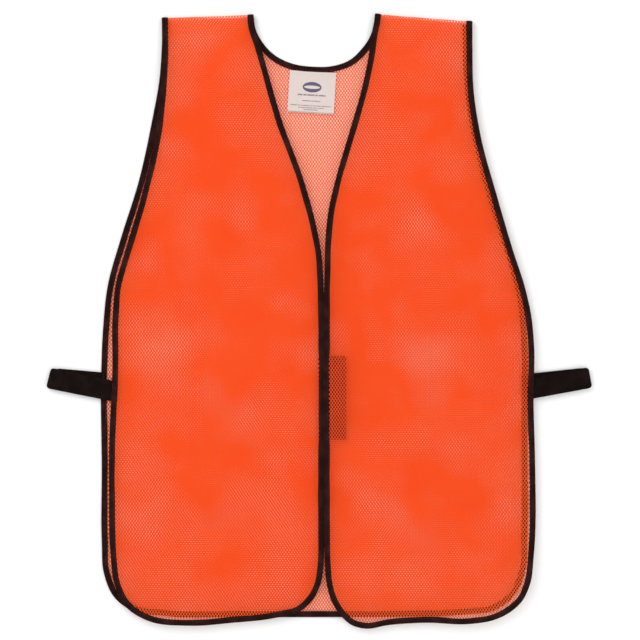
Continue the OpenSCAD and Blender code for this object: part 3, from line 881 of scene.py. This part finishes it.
def band(
    name, centres, sides, width, thickness, material, uv_of, divisions=12, rib=0.0, lips=0.6 * MM
):
    """A flat band of cloth along centres, sides being its unit width directions. Its faces are
    ribbed by a share of its thickness, and its ends thin out over the length of the lips."""
    centres, sides = np.asarray(centres, float), np.asarray(sides, float)
    t = frames_of(centres)
    normals = np.cross(t, sides)
    normals /= np.linalg.norm(normals, axis=1, keepdims=True)
    along = np.concatenate([[0], np.cumsum(np.linalg.norm(np.diff(centres, axis=0), axis=1))])
    across = np.concatenate([[-1, -0.985], np.linspace(-0.95, 0.95, divisions), [0.985, 1]])
    full = np.array([0.25, 0.75] + [1.0] * divisions + [0.75, 0.25])
    full = full + rib * np.where(np.arange(len(full)) % 2 == 0, 1, -1)
    w = np.concatenate([across, across[::-1]])
    h = np.concatenate([full, -full[::-1]])
    end = np.minimum(along, along[-1] - along)
    thin = 0.35 + 0.65 * smoothstep(end / lips) if lips else np.ones_like(end)
    points = (
        centres[:, None]
        + sides[:, None] * (w * width / 2)[None, :, None]
        + normals[:, None] * (h * thickness / 2)[None, :, None] * thin[:, None, None]
    )
    n, m = points.shape[:2]
    i, k = (q.ravel() for q in np.meshgrid(np.arange(n - 1), np.arange(m), indexing="ij"))
    j = (k + 1) % m
    faces = np.stack([i * m + k, i * m + j, (i + 1) * m + j, (i + 1) * m + k], 1).tolist()
    faces += [list(range(n * m, (n + 1) * m))[::-1], list(range((n + 1) * m, (n + 2) * m))]
    place = w * width / 2 + np.where(np.arange(m) >= m // 2, 1.0, 0.0)
    vertex_uv = [uv_of(along[a], place[b]) for a in [*range(n), 0, n - 1] for b in range(m)]
    uvs = np.array(vertex_uv)[[c for f in faces for c in f]]
    points = np.concatenate([points, points[:1], points[-1:]])  # the caps have their own corners
    return new_piece(name, points.reshape(-1, 3), faces, uvs, material)


def eased(start, stop, step):
    """Numbers from start to stop, a step apart and closer at both ends."""
    lips = 1.2 * MM
    inner = np.linspace(start, stop, max(int(abs(stop - start) / step), 2) + 1)
    sign = 1 if stop > start else -1
    ends = [start + sign * lips * q for q in (0.15, 0.4, 0.8)]
    ends += [stop - sign * lips * q for q in (0.15, 0.4, 0.8)]
    return np.array(sorted(set(inner.tolist() + ends), reverse=sign < 0))


def zigzag(name, node, height, body):
    """Bar of zigzag thread where a CAD bartack is."""
    low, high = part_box(node)
    turns = 26
    y = np.linspace(low.y, high.y, turns)
    x = np.where(np.arange(turns) % 2 == 0, low.x + 0.2 * MM, high.x - 0.2 * MM)
    line = np.stack([x, y, np.full(turns, height)], 1)
    dense = np.concatenate(
        [line[:-1, None] * (1 - s) + line[1:, None] * s for s in (0.0, 0.5)], 1
    ).reshape(-1, 3)
    made = tube(name, np.vstack([dense, line[-1:]]), THREAD_R, THREAD)
    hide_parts(node)
    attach(made, body)
    return made


def strap(side, outward):
    """One elastic strap: sewn end on the back, folded loop, sewn end on the front."""
    back_low, back_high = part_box(f"{side}_strap_back_end")
    front_low, front_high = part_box(f"{side}_strap_front_end")
    width = back_high.y - back_low.y
    thick = back_high.z - back_low.z
    joint = next(j for j in frame["joints"] if j["name"] == f"{side}_strap_unfold")
    fold, axis = np.array(joint["pos_m"]), np.array(joint["axis"])
    axis = axis if axis[1] > 0 else -axis
    low_z, high_z = (back_low.z + back_high.z) / 2, (front_low.z + front_high.z) / 2
    ring = (high_z - low_z) / 2
    out = np.array([axis[1], -axis[0], 0.0]) * outward
    out = out if out[0] * outward > 0 else -out
    square = np.array([0.0, 1.0, 0.0])

    def end_of(low, high, z):
        root = high.x if outward > 0 else low.x
        inner = low.x if outward > 0 else high.x
        return np.array([root, (low.y + high.y) / 2, z]), np.array([inner, (low.y + high.y) / 2, z])

    back_root, back_inner = end_of(back_low, back_high, low_z)
    front_root, front_inner = end_of(front_low, front_high, high_z)
    fold_low = np.array([fold[0], fold[1], low_z])
    fold_high = np.array([fold[0], fold[1], high_z])

    def run(a, b, side_a, side_b, shares):
        """Middles and width directions from a to b."""
        middles = np.array([a + (b - a) * s for s in shares])
        ways = np.array([side_a + (side_b - side_a) * smoothstep(s) for s in shares])
        return middles, ways / np.linalg.norm(ways, axis=1, keepdims=True)

    bends = np.linspace(0, math.pi, 15)
    turn_middles = np.array(
        [[fold[0], fold[1], fold[2] - ring * math.cos(q)] + out * ring * math.sin(q) for q in bends]
    )
    turn_ways = np.tile(axis, (len(bends), 1))
    share = 0.3
    a1, s1 = run(back_inner, back_root, square, square, np.linspace(0, 1, 7)[:-1])
    a2, s2 = run(back_root, fold_low, square, axis, np.linspace(0, share, 9))
    loop1, way1 = run(back_root, fold_low, square, axis, np.linspace(share, 1, 14)[:-1])
    root_gap = 3 * MM
    stop = 1 - root_gap / np.linalg.norm(front_root - fold_high)
    loop2, way2 = run(fold_high, front_root, axis, square, np.linspace(0, stop, 22)[1:])
    a3, s3 = run(fold_high, front_root, axis, square, np.linspace(stop, 1, 4)[:-1])
    a4, s4 = run(front_root, front_inner, square, square, np.linspace(0, 1, 7))
    settings = dict(
        width=width, thickness=thick, material=ELASTIC, uv_of=plain_uv,
        divisions=20, rib=0.06, lips=0,
    )
    sewn = band(f"{side}_strap_back_band", np.vstack([a1, a2]), np.vstack([s1, s2]), **settings)
    end = back_root + out * 12 * MM
    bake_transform(sewn)
    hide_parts(f"{side}_strap_back_end")
    loop = band(
        f"{side}_strap_loop_band",
        np.vstack([loop1, turn_middles, loop2]),
        np.vstack([way1, turn_ways, way2]),
        **settings,
    )
    for v in loop.data.vertices:
        away = np.array(v.co) - fold
        past = min(max(abs(away @ axis) - (width / 2 - STRAP_CORNER), 0), STRAP_CORNER)
        drawn_in = STRAP_CORNER - math.sqrt(max(STRAP_CORNER**2 - past**2, 0))
        near = smoothstep(1 + (away @ out) / (9 * MM))
        v.co -= Vector(out * drawn_in * near)
    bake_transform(loop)
    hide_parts(f"{side}_strap_back_half", f"{side}_strap_front_half")
    tucked = band(f"{side}_strap_front_band", np.vstack([a3, a4]), np.vstack([s3, s4]), **settings)
    ahead = (front_root - fold_high) / np.linalg.norm(front_root - fold_high)
    lap_middles = [loop2[-1] + ahead * q for q in np.linspace(-1.5 * MM, STRAP_LAP, 8)]
    settings.update(width=width - 0.5 * MM, thickness=thick - 0.5 * MM)
    lap = band(f"{side}_strap_lap_band", lap_middles, np.tile(way2[-1], (8, 1)), **settings)
    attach(lap, f"{side}_strap_upper")
    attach(tucked, f"{side}_front")
    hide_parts(f"{side}_strap_front_end")
    for end, height, body in (
        ("back", back_high.z + 0.12 * MM, "back"),
        ("front", front_low.z - 0.12 * MM, f"{side}_front"),
    ):
        zigzag(f"{side}_strap_{end}_zigzag", f"{side}_strap_{end}_bartack", height, body)


def closure():
    """Hook tape under the left front and loop tape under the right front's middle edge."""
    low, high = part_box("hook_patch")
    base = 0.55 * MM
    y = eased(high.y, low.y, 4 * MM)
    x = (low.x + high.x) / 2
    centres = np.stack([np.full(len(y), x), y, np.full(len(y), high.z - base / 2)], 1)
    sides = np.tile([1.0, 0, 0], (len(y), 1))
    patch = band("hook_tape_base", centres, sides, high.x - low.x, base, HOOKS, plain_uv)
    margin, pitch = 1.2 * MM, 1.5 * MM
    spots = np.array(
        [
            (a, b)
            for i, b in enumerate(np.arange(low.y + margin, high.y - margin, pitch))
            for a in np.arange(low.x + margin + (i % 2) * pitch / 2, high.x - margin, pitch)
        ]
    )
    top = np.column_stack([spots, np.full(len(spots), high.z - base)])
    lean = np.array([0.22 * MM, 0.0, 0.0])
    tip = np.column_stack([spots, np.full(len(spots), low.z + 0.1 * MM)]) + lean
    hooks = stubs("hook_tape_hooks", top, tip, 0.14 * MM, HOOKS)
    lap_low, lap_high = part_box("loop_tab")
    step_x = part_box("right_flap_center_binding")[1].x
    thick = 1.2 * MM
    high_z, low_z = lap_high.z - thick / 2, lap_low.z + thick / 2
    drop = [  # from under the right front, down past its middle binding
        (lap_low.x, high_z),
        (lap_low.x + 3 * MM, high_z),
        (step_x - 2 * MM, high_z - 0.1 * MM),
        (step_x, (high_z + low_z) / 2),
        (step_x + 1.5 * MM, low_z + 0.1 * MM),
        (step_x + 4 * MM, low_z),
    ]
    drop_x, drop_z = np.array(drop).T
    rest_x = np.linspace(step_x + 4 * MM, lap_high.x, 9)[1:]
    xs = np.concatenate([drop_x, rest_x])
    zs = np.concatenate([drop_z, np.full(len(rest_x), low_z)])
    middle_y = (lap_low.y + lap_high.y) / 2
    centres = np.stack([xs, np.full(len(xs), middle_y), zs], 1)
    sides = np.tile([0, 1.0, 0], (len(xs), 1))
    tab = band(
        "loop_tape_band", centres, sides, lap_high.y - lap_low.y, thick, LOOPS, plain_uv,
        divisions=40, rib=0.08, lips=0,
    )
    line_low, line_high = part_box("loop_tab_stitching")
    count = int((line_high.y - line_low.y) / STITCH_PITCH)
    y = line_low.y + STITCH_PITCH * np.arange(count)
    sx, sz = (line_low.x + line_high.x) / 2, line_low.z + 0.1 * MM
    a = np.stack([np.full(count, sx), y, np.full(count, sz)], 1)
    tab_stitches = stubs("loop_tape_stitches", a, a + [0, STITCH_LENGTH, 0], THREAD_R, THREAD)
    stitch_low, stitch_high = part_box("hook_patch_stitching")
    z = stitch_low.z + 0.12 * MM
    corners = [
        (stitch_low.x, stitch_low.y), (stitch_high.x, stitch_low.y),
        (stitch_high.x, stitch_high.y), (stitch_low.x, stitch_high.y),
    ]
    starts, stops = [], []
    for (ax, ay), (bx, by) in zip(corners, corners[1:] + corners[:1]):
        far = math.hypot(bx - ax, by - ay)
        way = np.array([bx - ax, by - ay]) / far
        for q in np.arange(0.4 * MM, far - STITCH_LENGTH, STITCH_PITCH):
            starts.append((ax + way[0] * q, ay + way[1] * q, z))
            q += STITCH_LENGTH
            stops.append((ax + way[0] * q, ay + way[1] * q, z))
    patch_stitches = stubs("hook_tape_stitches", starts, stops, THREAD_R, ORANGE_THREAD)
    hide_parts("hook_patch")
    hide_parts("hook_patch_stitching")
    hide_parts("loop_tab")
    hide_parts("loop_tab_stitching")
    for piece, body, slot in (
        (patch, "left_flap", "hook_tape"), (hooks, "left_flap", "hook_tape"),
        (patch_stitches, "left_flap", "thread"), (tab, "right_flap", "loop_tape"),
        (tab_stitches, "right_flap", "thread"),
    ):
        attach(piece, body)
    return [patch, hooks, patch_stitches], [tab, tab_stitches]


def care_label():
    """The label: a square of satin sewn along its upper edge, its lower corners a little lifted."""
    joint = next(j for j in frame["joints"] if j["name"] == "label_lift")
    hinge, axis = np.array(joint["pos_m"]), np.array(joint["axis"])
    width_way = -axis if axis[0] < 0 else axis
    up = np.array([-width_way[1], width_way[0], 0.0])
    low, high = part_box("label_seam")
    seam = 2.7 * MM
    z = (low.z + high.z) / 2
    top = hinge + up * seam
    down = np.concatenate([[0, 0.3, 0.8, 1.6], np.arange(2.6, 48.6, 1.2), [48.2, 48.7, 49.0]]) * MM
    down = np.unique(np.concatenate([[-LABEL_TUCK, -LABEL_TUCK / 2], down]))
    centres = top - up * down[:, None]
    centres[:, 2] = z
    ways = np.tile(width_way, (len(down), 1))

    def label_uv(along, across):
        return across, LABEL_TUCK - along

    made = band(
        "care_label_cloth", centres, ways, LABEL_W, 0.35 * MM, LABEL, label_uv,
        divisions=22, lips=0.5 * MM,
    )
    for v in made.data.vertices:
        away = v.co - Vector(top)
        across, fall = away.dot(Vector(width_way)) / (LABEL_W / 2), -away.dot(Vector(up)) / LABEL_H
        curl = max(fall - 0.25, 0) ** 2 * (0.9 + 0.8 * across * across + 0.5 * across)
        wave = 0.12 * math.sin(across * 4 + 1) * min(fall * 3, 1)
        v.co.z += (curl + wave + 0.05) * MM
    count = int(LABEL_W / STITCH_PITCH)
    offs = (np.arange(count) + 0.5) / count * LABEL_W - LABEL_W / 2 - STITCH_LENGTH / 2
    a = top[None] + width_way[None] * offs[:, None] - up[None] * 1.3 * MM
    a[:, 2] = z + 0.3 * MM
    stitches = stubs("label_stitches", a, a + width_way * STITCH_LENGTH, 0.14 * MM, PALE_THREAD)
    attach(stitches, "back")
    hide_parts("label_seam", "care_label")
    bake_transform(made)


strap("right", -1)
strap("left", 1)
hook_side, loop_side = closure()
care_label()
back_pieces()
front("right", right, RIGHT_TAPES)
front("left", left, LEFT_TAPES)

half = 2.0  # of the floor's width, in metres
floor = new_piece(
    "floor",
    [(-half, -half, 0), (half, -half, 0), (half, half, 0), (-half, half, 0)],
    [(0, 1, 2, 3)],
    [(0, 0), (1, 0), (1, 1), (0, 1)],
    plain_floor(),
)
floor.location.z = -0.2 * MM
